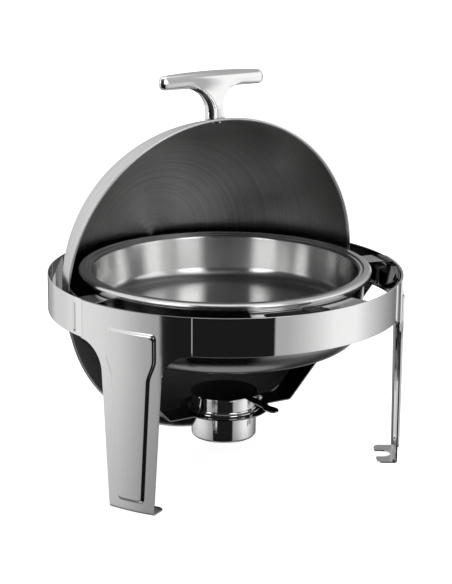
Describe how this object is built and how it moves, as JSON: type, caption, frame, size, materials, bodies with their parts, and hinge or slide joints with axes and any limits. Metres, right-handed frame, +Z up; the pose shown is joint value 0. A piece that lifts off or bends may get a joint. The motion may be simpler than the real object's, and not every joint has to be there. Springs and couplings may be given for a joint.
{
  "type": "chafing dish food warmer",
  "caption": "Round roll-top chafing dish in stainless steel: a lift-out food pan over a water pan, a domed lid on side hinges and a fuel burner cradled below.",
  "frame": {"origin": "on the table, under the middle of the round band", "axes": "+Z up, -Y the front where food is served, X along the lid's hinge axis"},
  "size_m": [0.4752, 0.4782, 0.528],
  "materials": {
    "polished_steel": "mirror-polished stainless steel",
    "leg_steel": "satin-polished stainless steel",
    "satin_steel": "satin stainless steel",
    "pan_steel": "spun satin stainless steel",
    "brushed_lid_steel": "spun brushed stainless steel",
    "polished_handle": "mirror-polished casting",
    "cup_steel": "polished stainless steel",
    "fastener_steel": "plain stainless steel",
    "black_rubber": "matt black rubber",
    "black_nylon": "black nylon"
  },
  "bodies": {
    "frame": {"frame_band": "polished_steel", "front_left_leg": "leg_steel", "front_right_leg": "leg_steel", "rear_leg": "leg_steel", "pan_support_ring": "satin_steel", "pan_bracket_left": "satin_steel", "pan_bracket_right": "satin_steel", "front_rest_plate": "satin_steel", "lid_bumper": "black_rubber", "water_pan": "pan_steel", "burner_strap": "polished_steel", "hinge_boss_left": "satin_steel", "hinge_boss_right": "satin_steel", "hinge_screw_left": "fastener_steel", "hinge_screw_right": "fastener_steel", "hinge_washer_left": "black_nylon", "hinge_washer_right": "black_nylon"},
    "lid": {"lid_dome": "brushed_lid_steel", "hinge_plate_left": "satin_steel", "hinge_plate_right": "satin_steel", "hinge_plate_rivets": "fastener_steel", "handle": "polished_handle", "handle_screws": "fastener_steel", "handle_washers": "fastener_steel"},
    "food_pan_body": {"food_pan": "pan_steel"},
    "fuel_holder": {"fuel_cup": "cup_steel", "cup_collar": "cup_steel", "cover_lug": "satin_steel", "cover_pin": "fastener_steel"},
    "cover": {"burner_cover": "cup_steel", "cover_lever": "satin_steel"}
  },
  "joints": [
    {"name": "lid_roll", "type": "hinge", "parent": "frame", "child": "lid", "pos_m": [0, 0, 0.245], "axis": [1, 0, 0], "range_deg": [0, 86.5]},
    {"name": "food_pan_lift", "type": "slide", "parent": "frame", "child": "food_pan_body", "axis": [0, 0, 1], "range_m": [0, 0.03]},
    {"name": "fuel_holder_lift", "type": "slide", "parent": "frame", "child": "fuel_holder", "axis": [0, 0, 1], "range_m": [0, 0.045]},
    {"name": "cover_swivel", "type": "hinge", "parent": "fuel_holder", "child": "cover", "pos_m": [0.02805, -0.04319, 0.0922], "axis": [0, 0, 1], "range_deg": [0, 90]}
  ]
}
